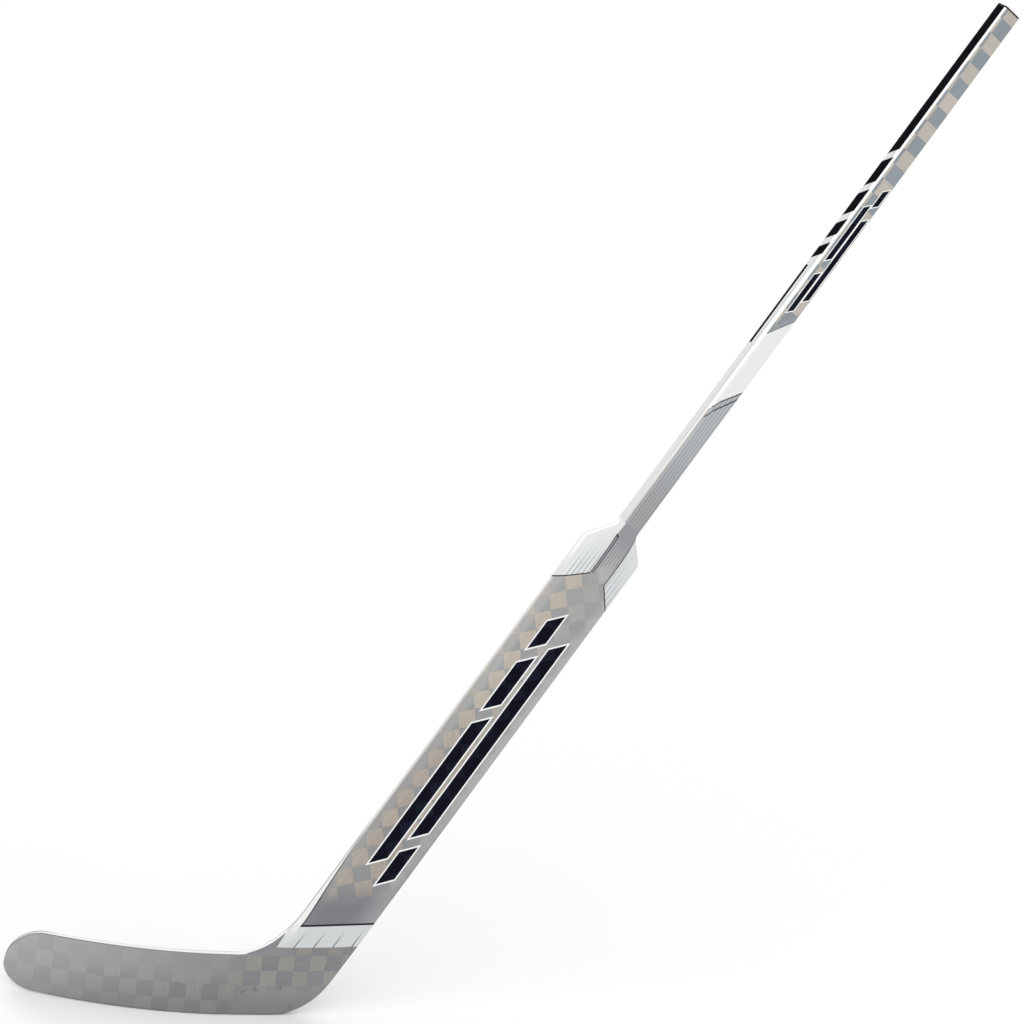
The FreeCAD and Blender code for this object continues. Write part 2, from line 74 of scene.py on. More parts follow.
# %% Colours and nodes
NODE_WIDTH, NODE_HEIGHT, NODES_IN_A_ROW = 220, 240, 12


def srgb(code):
    """Linear colour, with alpha, from six hexadecimal digits."""
    parts = [int(code[i:i + 2], 16) / 255 for i in (0, 2, 4)]
    linear = [v / 12.92 if v < 0.04045 else ((v + 0.055) / 1.055) ** 2.4 for v in parts]
    return (*linear, 1)


def add(tree, kind, inputs=(), out=0, **settings):
    """Adds one shader node and returns the output asked for, if it has any."""
    node = tree.nodes.new("ShaderNode" + kind)
    row, column = divmod(len(tree.nodes), NODES_IN_A_ROW)
    node.location = (NODE_WIDTH * column, -NODE_HEIGHT * row)
    for name, value in settings.items():
        setattr(node, name, value)
    pairs = inputs.items() if isinstance(inputs, dict) else enumerate(inputs)
    for key, value in pairs:
        if isinstance(value, bpy.types.NodeSocket):
            tree.links.new(value, node.inputs[key])
        else:
            node.inputs[key].default_value = value
    return node.outputs[out] if node.outputs else None


print("white paint in linear numbers:", [round(value, 3) for value in srgb("E6E8E7")])

# %% [markdown]
# ## Drawing with masks
#
# A mask is a number that is 1 where a colour shows and 0 elsewhere. Three of the Math
# node's modes make nearly all of them. *Compare* is 1 within some distance of a value,
# which is a stripe. *Ping-pong* folds a coordinate back and forth, which repeats a stripe.
# *Minimum* of two masks is 1 where both are.
#
# `paint` lays a colour over what is there already, and `fade` is a soft step. A pair of
# numbers with FADE in its name is the start and the end of such a step. Unlike a picture,
# such masks stay sharp at any distance.

# %% Masks
def paint(tree, under, over, mask):
    """The colour over, a socket or hex digits, laid on the colour under where the mask is 1."""
    under, over = (srgb(colour) if isinstance(colour, str) else colour for colour in (under, over))
    return add(tree, "Mix", {0: mask, 6: under, 7: over}, out=2, data_type="RGBA")


def fade(tree, value, start, end):
    """A mask that goes smoothly from 0 at start to 1 at end."""
    return add(tree, "MapRange", (value, start, end, 0, 1), interpolation_type="SMOOTHSTEP")


def both(tree, *masks):
    """A mask that is only 1 where all of these are."""
    result = masks[0]
    for mask in masks[1:]:
        result = add(tree, "Math", (result, mask), operation="MINIMUM")
    return result


def directions(tree):
    """Millimetres along the shaft, across it and through it."""
    point = add(tree, "TexCoord", out="Object")
    axes = (SHAFT * 1000, LEADING * 1000, -BACKHAND * 1000)
    along, across, depth = (
        add(tree, "VectorMath", (point, axis), out="Value", operation="DOT_PRODUCT")
        for axis in axes
    )
    along = add(tree, "Math", (along, GRIP_ALONG), operation="ADD")
    return along, across, depth


def slanted(tree, along, across, slope):
    """A coordinate whose lines of equal value run across the stick at a slant."""
    return add(tree, "Math", (across, slope, along), operation="MULTIPLY_ADD")


print("masks ready")

# %% [markdown]
# ## The weave under the lacquer
#
# The laminate is woven from flat tapes, so it shows squares, and each tape shows the fine
# threads that run along it. Squares of one sort have threads one way and squares of the
# other sort the other way, which the noise texture follows: it is stretched along the
# threads, and a mix swaps the stretch from square to square. A second, slow noise moves
# the squares a little, because tapes are never laid quite straight.

# %% Weave
# Real threads are far finer. Drawn 16 to a square they are up to 2 mm wide, which is coarse
# enough to show in the picture.
THREADS_PER_SQUARE = 16
DRIFT_SCALE, TAPE_DRIFT = 0.7, 0.12
TAPE_EDGE = 0.05
TINT_FROM, TINT_TO = 0.94, 1.04
THREAD_SHADE, THREAD_MIDDLE = 0.26, 0.12
EDGE_SHADE = 0.06


def tapes(tree, first, second):
    """Where a point is among the tapes: its drifted place, and how near a tape's edge it is."""
    cell = add(tree, "CombineXYZ", (first, second, 0.5))
    noise = {"Vector": cell, "Scale": DRIFT_SCALE, "Detail": 2}
    drift = add(tree, "TexNoise", noise, out="Color")
    drift = add(tree, "VectorMath", (drift, (0.5, 0.5, 0.5)), operation="SUBTRACT")
    drift = add(tree, "VectorMath", (drift, (TAPE_DRIFT, TAPE_DRIFT, 0)), operation="MULTIPLY")
    cell = add(tree, "VectorMath", (cell, drift), operation="ADD")
    borders = []
    for axis in ((1, 0, 0), (0, 1, 0)):
        place = add(tree, "VectorMath", (cell, axis), out="Value", operation="DOT_PRODUCT")
        borders.append(add(tree, "Math", (place, 0.5), operation="PINGPONG"))
    border = add(tree, "Math", borders, operation="MINIMUM")
    return cell, fade(tree, border, TAPE_EDGE, 0)


def weave(tree, first, second, light, dark):
    """Squares of two colours, one unit wide, and the height of their threads."""
    cell, tape_edge = tapes(tree, first, second)
    sort = add(tree, "TexChecker", {"Vector": cell, "Scale": 1}, out="Fac")
    whole = add(tree, "VectorMath", (cell,), operation="FLOOR")
    tint = add(tree, "TexWhiteNoise", (whole,), out="Value")

    one_way = add(tree, "VectorMath", (cell, (1, THREADS_PER_SQUARE, 1)), operation="MULTIPLY")
    other_way = add(tree, "VectorMath", (cell, (THREADS_PER_SQUARE, 1, 1)), operation="MULTIPLY")
    stretched = add(tree, "Mix", {0: sort, 4: one_way, 5: other_way}, out=1, data_type="VECTOR")
    threads = add(tree, "TexNoise", {"Vector": stretched, "Scale": 1, "Detail": 3})

    value = add(tree, "MapRange", (tint, 0, 1, TINT_FROM, TINT_TO))
    value = add(tree, "Math", (threads, THREAD_SHADE, value), operation="MULTIPLY_ADD")
    value = add(tree, "Math", (value, THREAD_MIDDLE), operation="SUBTRACT")
    value = add(tree, "Math", (tape_edge, -EDGE_SHADE, value), operation="MULTIPLY_ADD")
    colour = paint(tree, dark, light, sort)
    colour = add(tree, "HueSaturation", {"Value": value, "Color": colour})
    return colour, threads


print("weave ready, threads per square:", THREADS_PER_SQUARE)

# %% [markdown]
# ## Slanted bars
#
# The stick's main decoration is two lanes of slanted bars, printed navy with a white
# keyline. Each bar is a parallelogram, and the distance to the nearest one is enough to
# draw them all: under zero is inside, and a little over zero is the keyline. A mesh for
# each bar would have to follow the surface, and a mask already does.

# %% Slanted bars
BAR_SLANT = -0.9


def bars(tree, along, across, table):
    """Distance in millimetres to the nearest bar, less than zero inside one."""
    nearest = None
    steepness = 1 / math.hypot(1, BAR_SLANT)
    for start, end, low, high in table:
        beside = add(tree, "Math", (across, (low + high) / 2), operation="SUBTRACT")
        ahead = slanted(tree, along, beside, -BAR_SLANT)
        ahead = add(tree, "Math", (ahead, (start + end) / 2), operation="SUBTRACT")
        ahead = add(tree, "Math", (ahead,), operation="ABSOLUTE")
        ahead = add(tree, "Math", (ahead, (end - start) / 2), operation="SUBTRACT")
        ahead = add(tree, "Math", (ahead, steepness), operation="MULTIPLY")
        beside = add(tree, "Math", (beside,), operation="ABSOLUTE")
        beside = add(tree, "Math", (beside, (high - low) / 2), operation="SUBTRACT")
        far = add(tree, "Math", (ahead, beside), operation="MAXIMUM")
        if nearest is None:
            nearest = far
        else:
            nearest = add(tree, "Math", (nearest, far), operation="MINIMUM")
    return nearest


def paint_bars(tree, colour, along, across, table, keyline, square):
    """Navy bars with a white keyline and a faint check."""
    far = bars(tree, along, across, table)
    outline = add(tree, "Math", (far, keyline), operation="LESS_THAN")
    inside = add(tree, "Math", (far, 0), operation="LESS_THAN")
    navy, _ = weave(tree, *square, "131625", "0A0B19")
    colour = paint(tree, colour, "F0F2F1", outline)
    return paint(tree, colour, navy, inside)


print("bars ready")

# %% [markdown]
# ## Lacquer
#
# All the graphics lie under one satin lacquer, so the three painted materials share their
# finish. The threads print through it a few hundredths of a millimetre, it has a faint
# orange peel from the spray gun, and hands have polished it in some places and dulled it in
# others, which the roughness follows. Its gloss is kept low: in the even light of a tent a
# stronger one would only veil the navy and the black.

# %% Lacquer
PEEL_SIZE = 1.1
HANDLED_SIZE = 45
HANDLED_SPREAD = 0.06
# Nearly all values of a noise lie between these two.
NOISE_RANGE = (0.3, 0.7)
THREAD_SHARE = 0.5
PEEL_HEIGHT, PEEL_STRENGTH = 0.00005, 0.12


def new_material(name):
    """An empty node material: the material and its tree."""
    material = bpy.data.materials.new(name)
    material.use_nodes = True
    material.node_tree.nodes.clear()
    return material, material.node_tree


def lacquer(tree, colour, threads, roughness):
    """A satin clear coat over a printed laminate: deep colours with a soft, broken shine."""
    point = add(tree, "TexCoord", out="Object")
    peel = add(tree, "TexNoise", {"Vector": point, "Scale": 1000 / PEEL_SIZE, "Detail": 1})
    handled = add(tree, "TexNoise", {"Vector": point, "Scale": 1000 / HANDLED_SIZE})
    smooth, dull = roughness - HANDLED_SPREAD, roughness + HANDLED_SPREAD
    rough = add(tree, "MapRange", (handled, *NOISE_RANGE, smooth, dull))
    height = add(tree, "Math", (threads, THREAD_SHARE, peel), operation="MULTIPLY_ADD")
    relief = {"Strength": PEEL_STRENGTH, "Distance": PEEL_HEIGHT, "Height": height}
    bump = add(tree, "Bump", relief)
    surface = add(tree, "BsdfPrincipled", {
        "Base Color": colour,
        "Roughness": rough,
        "Specular IOR Level": 0.03,
        "Coat Weight": 0.01,
        "Coat Roughness": 0.2,
        "Normal": bump,
        "Coat Normal": bump,
    })
    add(tree, "OutputMaterial", {"Surface": surface})


print("lacquer ready, its peel is", PEEL_SIZE, "mm wide")

# %% [markdown]
# ## The heel band
#
# Where paddle and blade meet, the real stick has a white printed band with short lines that
# fade upwards, a dark line that closes it and a grey veil over that. The print lies level
# with the ice, folds over the stick's rounded edges and ends at a slant on the leading
# side.
#
# The band spans two pieces, so one function draws it for both of their materials. A decal
# on a mesh of its own would stand off the surface.

# %% Places on the heel
BAND_SLOPE = 1 / math.tan(LIE)
BAND_END = 47.8
END_LEAN, END_RISE = 0.81, -0.0955


def heel_places(tree, along, across, depth):
    """Levels over the ice, flat and folded over the edges, and a mask behind the band's end."""
    level = slanted(tree, along, across, BAND_SLOPE)
    out = add(tree, "Math", (depth,), operation="ABSOLUTE")
    round_edge = add(tree, "Math", (PADDLE_HALF_DEPTH, out), operation="SUBTRACT")
    folded = add(tree, "Math", (round_edge, BAND_SLOPE, level), operation="MULTIPLY_ADD")
    ahead = add(tree, "Math", (depth, END_LEAN, across), operation="MULTIPLY_ADD")
    ahead = add(tree, "Math", (along, END_RISE, ahead), operation="MULTIPLY_ADD")
    behind_end = add(tree, "Math", (ahead, BAND_END), operation="LESS_THAN")
    return level, folded, behind_end


print("slope of the band:", round(BAND_SLOPE, 3))

# %% The band and its lines
BAND_LOW, BAND_HIGH = 86.3, 120.1
BAND_LINES_FROM, BAND_LINE_STEP = 14.2, 12.2
BAND_LINE_FADE = (1.2, 0.6)
BAND_LINE_TOP = BAND_HIGH - 3
DARK_LINE = 1.6
VEIL_FADE, VEIL_PALE_FADE = (192, 146), (0, -44)


def heel_band(tree, colour, across, level, folded, behind_end):
    """The grey veil, the white band with its lines and the dark line between them."""
    above = add(tree, "Math", (folded, BAND_HIGH), operation="GREATER_THAN")
    grey = paint(tree, "7B7D82", "9A9A9D", fade(tree, across, *VEIL_PALE_FADE))
    colour = paint(tree, colour, grey, both(tree, above, fade(tree, level, *VEIL_FADE)))

    shifted = add(tree, "Math", (across, BAND_LINES_FROM), operation="SUBTRACT")
    repeat = add(tree, "Math", (shifted, BAND_LINE_STEP), operation="PINGPONG")
    lines = fade(tree, repeat, *BAND_LINE_FADE)
    lines = both(tree, lines, fade(tree, level, BAND_LINE_TOP, BAND_LOW))
    white = paint(tree, "CED1D1", "6F7377", lines)
    over_foot = add(tree, "Math", (level, BAND_LOW), operation="GREATER_THAN")
    below = add(tree, "Math", (folded, BAND_HIGH), operation="LESS_THAN")
    colour = paint(tree, colour, white, both(tree, over_foot, below, behind_end))

    dark_line = add(tree, "Math", (folded, BAND_HIGH + DARK_LINE, DARK_LINE), operation="COMPARE")
    return paint(tree, colour, "2A2A36", dark_line)


print("heel band from", BAND_LOW, "to", BAND_HIGH, "mm")

# %% [markdown]
# ## The white wedge
#
# From the band a white wedge climbs the paddle's leading narrow side and tapers out. Its
# front follows a curve, drawn as a power of how far up the wedge a point is, with a dark
# border along it and a painted shade in grey on the rounded edge behind.

# %% The white wedge
# Depth at which the narrow side turns into the far face.
FAR_CORNER = 8.4
WEDGE_LOW, WEDGE_TOP = 89, 347
WEDGE_CURVE, WEDGE_DEPTH = 1.8, 18
WEDGE_SIDE_FADE = (PADDLE_HALF_WIDTH - 7, PADDLE_HALF_WIDTH - 1)
WEDGE_FOOT_FADE = (BAND_LOW + 8, BAND_HIGH)
BORDER = 1
BORDER_FADE, FAR_EDGE_SHADE_FADE = (260, 130), (340, 280)
# Four numbers for a MapRange: two places, and the values there.
FAR_EDGE_SHADE_FROM = (60, 100, 3.6, FAR_CORNER - 0.5)


def heel_wedge(tree, colour, along, across, depth, level, folded, behind_end):
    """The wedge, its border and a painted shade on its far rounded edge."""
    share = add(tree, "MapRange", (along, WEDGE_LOW, WEDGE_TOP, 1, 0), clamp=False)
    share = add(tree, "Math", (share, 0), operation="MAXIMUM")
    share = add(tree, "Math", (share, WEDGE_CURVE), operation="POWER")
    front = add(tree, "Math", (share, -WEDGE_DEPTH, PADDLE_HALF_DEPTH), operation="MULTIPLY_ADD")
    past = add(tree, "Math", (depth, front), operation="SUBTRACT")
    leading = fade(tree, across, *WEDGE_SIDE_FADE)
    wedge = add(tree, "Math", (past, 0), operation="GREATER_THAN")
    wedge = both(tree, wedge, leading, behind_end, fade(tree, level, *WEDGE_FOOT_FADE))
    above = add(tree, "Math", (folded, BAND_HIGH), operation="GREATER_THAN")
    border = add(tree, "Math", (past, -BORDER, BORDER), operation="COMPARE")
    border = both(tree, border, leading, above, fade(tree, along, *BORDER_FADE))
    # Painted shade: grey where the wedge rounds off towards the far face.
    far_edge_shade = add(tree, "MapRange", (along, *FAR_EDGE_SHADE_FROM))
    far_edge_shade = add(tree, "Math", (depth, far_edge_shade), operation="GREATER_THAN")
    far_edge_shade = both(tree, far_edge_shade, wedge, fade(tree, along, *FAR_EDGE_SHADE_FADE))
    colour = paint(tree, colour, "2A2A36", border)
    colour = paint(tree, colour, "E6E9E7", wedge)
    return paint(tree, colour, "A8ABAD", far_edge_shade)


def heel_print(tree, colour, along, across, depth):
    """Band and wedge, laid over a colour."""
    level, folded, behind_end = heel_places(tree, along, across, depth)
    colour = heel_band(tree, colour, across, level, folded, behind_end)
    return heel_wedge(tree, colour, along, across, depth, level, folded, behind_end)


print("wedge up to", WEDGE_TOP, "mm")

# %% [markdown]
# ## Paddle: the weave
#
# The paddle is wrapped in tapes that cross it at a slant, so their squares stand on a
# corner, 31 mm from corner to corner along the paddle and 37 mm across. On the way down
# they drift towards the leading edge. The wrap goes on round the narrow side, so `wrapped`
# keeps counting millimetres there. A UV map could do that, but the CAD pieces have none.
#
# Half of the squares are cream towards the leading edge. The weave is duller near the heel
# and sinks into plain grey at the trailing edge.

# %% Paddle: squares
PADDLE_SQUARE_LONG, PADDLE_SQUARE_WIDE = 31, 36.9
PADDLE_SQUARES_FROM = (19.3, 29.5)
PADDLE_SQUARES_LEAN = 0.0285


def paddle_squares(tree, along, across, depth):
    """Millimetres across, counted on round the edge, and the squares' two coordinates."""
    through = add(tree, "Math", (depth, PADDLE_HALF_DEPTH), operation="ADD")
    far = add(tree, "Math", (depth, FAR_CORNER), operation="GREATER_THAN")
    round_edge = add(tree, "Mix", {0: far, 2: through, 3: 0.0}, data_type="FLOAT")
    side = add(tree, "Math", (across,), operation="SIGN")
    wrapped = add(tree, "Math", (round_edge, side, across), operation="MULTIPLY_ADD")
    up = add(tree, "Math", (along, PADDLE_SQUARES_FROM[0]), operation="SUBTRACT")
    up = add(tree, "Math", (up, PADDLE_SQUARE_LONG), operation="DIVIDE")
    over = add(tree, "Math", (along, PADDLE_SQUARES_LEAN, wrapped), operation="MULTIPLY_ADD")
    over = add(tree, "Math", (over, PADDLE_SQUARES_FROM[1]), operation="SUBTRACT")
    over = add(tree, "Math", (over, PADDLE_SQUARE_WIDE), operation="DIVIDE")
    square = [add(tree, "Math", (up, over), operation=how) for how in ("SUBTRACT", "ADD")]
    return wrapped, square


print("paddle squares:", PADDLE_SQUARE_LONG, "by", PADDLE_SQUARE_WIDE, "mm")

# %% Paddle: colours of the weave
CREAM_SHIFT, CREAM_FADE = (560, 300, 0, 30), (-5, 32)
SIDE_FADE, SIDE_SHARE = (42, 50), 0.62
DULL_ALONG_FADE, DULL_ACROSS_FADE, DULL_VALUE = (530, 310), (-40, -8), 0.81
PLAIN_ALONG_FADE, PLAIN_ACROSS_FADE = (200, 400), (-20, -48)
# Width and fade of the painted highlight on the far rounded corners.
FAR_HIGHLIGHT_REACH, FAR_HIGHLIGHT_FADE = 4.4, (3, FAR_CORNER)


def paddle_weave(tree, along, wrapped, square):
    """The weave in its colours, and the height of its threads."""
    shift = add(tree, "MapRange", (along, *CREAM_SHIFT))
    shifted = add(tree, "Math", (shift, wrapped), operation="ADD")
    cream = paint(tree, "A8A7A5", "B9B0A5", fade(tree, shifted, *CREAM_FADE))
    colour, threads = weave(tree, *square, cream, "9C9D9E")
    on_side = fade(tree, wrapped, *SIDE_FADE)
    on_side = add(tree, "Math", (on_side, SIDE_SHARE), operation="MULTIPLY")
    colour = paint(tree, colour, "B3AFAB", on_side)
    dull = both(tree, fade(tree, along, *DULL_ALONG_FADE), fade(tree, wrapped, *DULL_ACROSS_FADE))
    value = add(tree, "MapRange", (dull, 0, 1, 1, DULL_VALUE))
    colour = add(tree, "HueSaturation", {"Value": value, "Color": colour})
    plain = paint(tree, "969698", "AFAFB1", fade(tree, along, *PLAIN_ALONG_FADE))
    colour = paint(tree, colour, plain, fade(tree, wrapped, *PLAIN_ACROSS_FADE))
    return colour, threads


def far_edge_highlight(tree, colour, across, depth):
    """A painted highlight: a pale line along the far rounded corner of the narrow sides."""
    aside = add(tree, "Math", (across,), operation="ABSOLUTE")
    at_edge = PADDLE_HALF_WIDTH - FAR_HIGHLIGHT_REACH
    on_side = add(tree, "Math", (aside, at_edge), operation="GREATER_THAN")
    # Painted highlight where the far corner rounds off.
    line = both(tree, on_side, fade(tree, depth, *FAR_HIGHLIGHT_FADE))
    return paint(tree, colour, "D8D9D8", line)


print("near the heel the weave is", DULL_VALUE, "times as bright")

# %% [markdown]
# ## Paddle: the shoulders
#
# The shoulders slope in to the shaft. Grey streaks run up between two white panels, which
# have a dark outline and stripes that fade out upwards, and which fold over the edge onto
# the narrow sides. A panel's mask is the smaller of two distances, to its slanted foot and
# to its inner edge, so the outline keeps its width round the corner.

# %% Paddle: streaks
PIN_STEP = 4.8
SHOULDER_FADE = (664, 702)
STREAK_FADE, STREAK_LOW_FADE, STREAK_TOP_FADE = (1.5, 0.4), (646, 676), (722, 690)
STREAK_SHARE = 0.5


def shoulder_streaks(tree, colour, along, across):
    """Grey towards the neck, with pale streaks that fade out at both ends."""
    colour = paint(tree, colour, "939598", fade(tree, along, *SHOULDER_FADE))
    lines = add(tree, "Math", (across, PIN_STEP / 2), operation="PINGPONG")
    lines = fade(tree, lines, *STREAK_FADE)
    low, top = (fade(tree, along, *ends) for ends in (STREAK_LOW_FADE, STREAK_TOP_FADE))
    streaks = both(tree, lines, low, top)
    streaks = add(tree, "Math", (streaks, STREAK_SHARE), operation="MULTIPLY")
    return paint(tree, colour, "C4C5C6", streaks)


print("streaks every", PIN_STEP, "mm")

# %% Paddle: panels
# Each row: side, slope of the foot, inner edge, white, fade of the outline at the top.
PANELS = (
    (1, 0.714, 16.6, "DDE0DF", (720, 712)),
    (-1, 0.92, 16.2, "D5D8D9", (735, 690)),
)
PANEL_FOOT, PANEL_FOLD, PANEL_OUTLINE = 671.5, 0.7, 1.7
STRIPE_STEP, STRIPE_FADE, STRIPE_RISE_FADE = 3.2, (2.0, 0.5), (44, 2)
STRIPE_SIDE_FADE = (PADDLE_HALF_WIDTH + 9, PADDLE_HALF_WIDTH)
SHAFT_CORNER = SHAFT_HALF_WIDTH - SHAFT_HALF_DEPTH


def panel_places(tree, along, across, depth, side, slope, inner):
    """Distances into a panel: from its foot, from all its edges, and on round the edge."""
    out = add(tree, "Math", (depth,), operation="ABSOLUTE")
    through = add(tree, "Math", (depth, PADDLE_HALF_DEPTH), operation="ADD")
    through = add(tree, "Math", (through, PANEL_FOLD), operation="MULTIPLY")
    turned = add(tree, "Math", (across, side, through), operation="MULTIPLY_ADD")
    rise = slanted(tree, along, turned, slope)
    over = add(tree, "Math", (rise, PANEL_FOOT), operation="SUBTRACT")
    over = add(tree, "Math", (over, 1 / math.hypot(1, slope)), operation="MULTIPLY")
    beyond = add(tree, "Math", (across, side, -inner), operation="MULTIPLY_ADD")
    narrow = add(tree, "Math", (across, side, -SHAFT_CORNER), operation="MULTIPLY_ADD")
    narrow = add(tree, "Math", (narrow, out), operation="SUBTRACT")
    beyond = add(tree, "Math", (beyond, narrow), operation="MAXIMUM")
    within = add(tree, "Math", (over, beyond), operation="MINIMUM")
    fold = add(tree, "Math", (PADDLE_HALF_DEPTH, out), operation="SUBTRACT")
    fold = add(tree, "Math", (fold, PANEL_FOLD), operation="MULTIPLY")
    around = add(tree, "Math", (across, side, fold), operation="MULTIPLY_ADD")
    return over, within, around


def shoulder_panel(tree, colour, along, across, depth, side, slope, inner, white, top_fade):
    """One white panel with its stripes and its outline."""
    over, within, around = panel_places(tree, along, across, depth, side, slope, inner)
    repeat = add(tree, "Math", (around, STRIPE_STEP), operation="PINGPONG")
    stripes = fade(tree, repeat, *STRIPE_FADE)
    near = fade(tree, around, *STRIPE_SIDE_FADE)
    stripes = both(tree, stripes, near, fade(tree, over, *STRIPE_RISE_FADE))
    striped = paint(tree, white, "BABDC1", stripes)
    outline = add(tree, "Math", (within, -PANEL_OUTLINE), operation="GREATER_THAN")
    outline = both(tree, outline, fade(tree, along, *top_fade))
    panel = add(tree, "Math", (within, 0), operation="GREATER_THAN")
    colour = paint(tree, colour, "3B3C44", outline)
    return paint(tree, colour, striped, panel)


print("panels:", len(PANELS))

# %% Paddle: lines on the shoulders
# Fades of the painted highlight on the shoulders' narrow side.
HIGHLIGHT_SIDE_FADE = (0.6, 0.4)
HIGHLIGHT_NEAR_FADE, HIGHLIGHT_FAR_FADE, HIGHLIGHT_LOW_FADE = (0, 3), (8, 5), (640, 690)
STRIP_ACROSS, STRIP_FOOT, STRIP_SLANT = 13.8, 661, -0.455
# Each row: half width, upper end, colour.
STRIPS = ((2.8, 711.5, "3B3C44"), (1.6, 708.8, "8A8B90"))


def shoulder_lines(tree, colour, along, across, depth):
    """A painted highlight on the narrow side, and a dark strip with a grey core beside a panel."""
    facing = add(tree, "NewGeometry", out="Normal")
    facing = add(tree, "VectorMath", (facing, BACKHAND), out="Value", operation="DOT_PRODUCT")
    facing = add(tree, "Math", (facing,), operation="ABSOLUTE")
    # Painted highlight: near white where the surface turns onto the narrow side.
    shoulder_highlight = both(tree, fade(tree, facing, *HIGHLIGHT_SIDE_FADE), fade(tree, depth, *HIGHLIGHT_NEAR_FADE),
                  fade(tree, depth, *HIGHLIGHT_FAR_FADE), fade(tree, along, *HIGHLIGHT_LOW_FADE))
    colour = paint(tree, colour, "FBFCFB", shoulder_highlight)
    strip_end = slanted(tree, along, across, STRIP_SLANT)
    above_foot = add(tree, "Math", (along, STRIP_FOOT), operation="GREATER_THAN")
    for half, end, code in STRIPS:
        strip = add(tree, "Math", (across, STRIP_ACROSS, half), operation="COMPARE")
        below_end = add(tree, "Math", (strip_end, end), operation="LESS_THAN")
        colour = paint(tree, colour, code, both(tree, strip, above_foot, below_end))
    return colour


print("strip at", STRIP_ACROSS, "mm across")

# %% [markdown]
# ## Paddle: all layers
#
# The layers go on as in a print shop: weave, heel print, bars, shoulders, then lacquer.

# %% Paddle
# Each row: start and end along the paddle, then both sides across it.
PADDLE_BARS = (
    (196, 246, -25, -5),
    (214, 430, 5, 25),
    (268, 560, -25, -5),
    (452, 524, 5, 25),
    (546, 588, 5, 25),
)
PADDLE_KEYLINE, PADDLE_ROUGHNESS = 2.2, 0.4


def paddle_paint():
    """Printed laminate of the paddle."""
    # Cream and grey squares under a soft shine, which tell the eye that the shell is woven.
    material, tree = new_material("lacquered woven laminate, paddle")
    along, across, depth = directions(tree)
    wrapped, square = paddle_squares(tree, along, across, depth)
    colour, threads = paddle_weave(tree, along, wrapped, square)
    colour = far_edge_highlight(tree, colour, across, depth)
    colour = heel_print(tree, colour, along, across, depth)
    colour = paint_bars(tree, colour, along, across, PADDLE_BARS, PADDLE_KEYLINE, square)
    colour = shoulder_streaks(tree, colour, along, across)
    for panel in PANELS:
        colour = shoulder_panel(tree, colour, along, across, depth, *panel)
    colour = shoulder_lines(tree, colour, along, across, depth)
    lacquer(tree, colour, threads, PADDLE_ROUGHNESS)
    return material


paddle_material = paddle_paint()
print(paddle_material.name, "has", len(paddle_material.node_tree.nodes), "nodes")

# %% [markdown]
# ## Blade: places on the bend
#
# The real blade is moulded with a bend, and its graphics bend with it, so they are counted
# along the bend. `run` is the angle round the bend's upright circle, times its radius.
# `height` is over the ice, and `inward` goes through the blade from its middle to the
# concave side. Flat coordinates would squeeze the squares towards the toe.

# %% Blade: places on the bend
ICE = -0.71487
BLADE_RADIUS = 600
BLADE_HEADING = math.radians(8)
BLADE_START = Vector((-450.4, 7.68))
BEND_CENTRE_X = BLADE_START.x + BLADE_RADIUS * math.sin(BLADE_HEADING)
BEND_CENTRE_Y = BLADE_START.y + BLADE_RADIUS * math.cos(BLADE_HEADING)
HEEL_LINE = BLADE_START.y + BLADE_START.x * math.tan(BLADE_HEADING)


def blade_places(tree, depth):
    """Millimetres along the bend, over the ice, and inwards from the blade's middle."""
    point = add(tree, "TexCoord", out="Object")
    x, y, z = (
        add(tree, "VectorMath", (point, axis), out="Value", operation="DOT_PRODUCT")
        for axis in ((1000, 0, 0), (0, 1000, 0), (0, 0, 1000))
    )
    round_x = add(tree, "Math", (BEND_CENTRE_X, x), operation="SUBTRACT")
    round_y = add(tree, "Math", (BEND_CENTRE_Y, y), operation="SUBTRACT")
    angle = add(tree, "Math", (round_x, round_y), operation="ARCTAN2")
    angle = add(tree, "Math", (angle, BLADE_HEADING), operation="SUBTRACT")
    run = add(tree, "Math", (angle, BLADE_RADIUS), operation="MULTIPLY")
    height = add(tree, "Math", (z, 1000 * ICE), operation="SUBTRACT")

    radius = add(tree, "CombineXYZ", (round_x, round_y, 0))
    radius = add(tree, "VectorMath", (radius,), out="Value", operation="LENGTH")
    bent = add(tree, "Math", (BLADE_RADIUS, radius), operation="SUBTRACT")
    middle = add(tree, "Math", (x, -math.tan(BLADE_HEADING), HEEL_LINE), operation="MULTIPLY_ADD")
    middle = add(tree, "Math", (middle, 0), operation="MAXIMUM")
    straight = add(tree, "Math", (depth, middle), operation="SUBTRACT")
    is_bent = add(tree, "Math", (run, 0), operation="GREATER_THAN")
    inward = add(tree, "Mix", {0: is_bent, 2: straight, 3: bent}, data_type="FLOAT")
    return run, height, inward


print("radius of the bend:", BLADE_RADIUS, "mm")

# %% [markdown]
# ## Blade: the weave
#
# On the blade the tapes run along and across, so the squares stand in columns and rows. The
# columns lean a little, one of them is wide in the upper rows, and the rows sink slightly
# on the way to the toe. Stretched coordinates do all that, so it stays one weave.

# %% Blade: squares
COLUMN_LEAN = -0.1
TOE_SQUARE, WIDE_SQUARE, HEEL_SQUARE = 21, 29.4, 21.6
TOE_SQUARES_FROM, HEEL_SQUARES_FROM = 66, 36.6
HEEL_SHIFT = 2
BLADE_ROW = 21.8
ROWS_FROM = (80, 220, 41.5, 37)


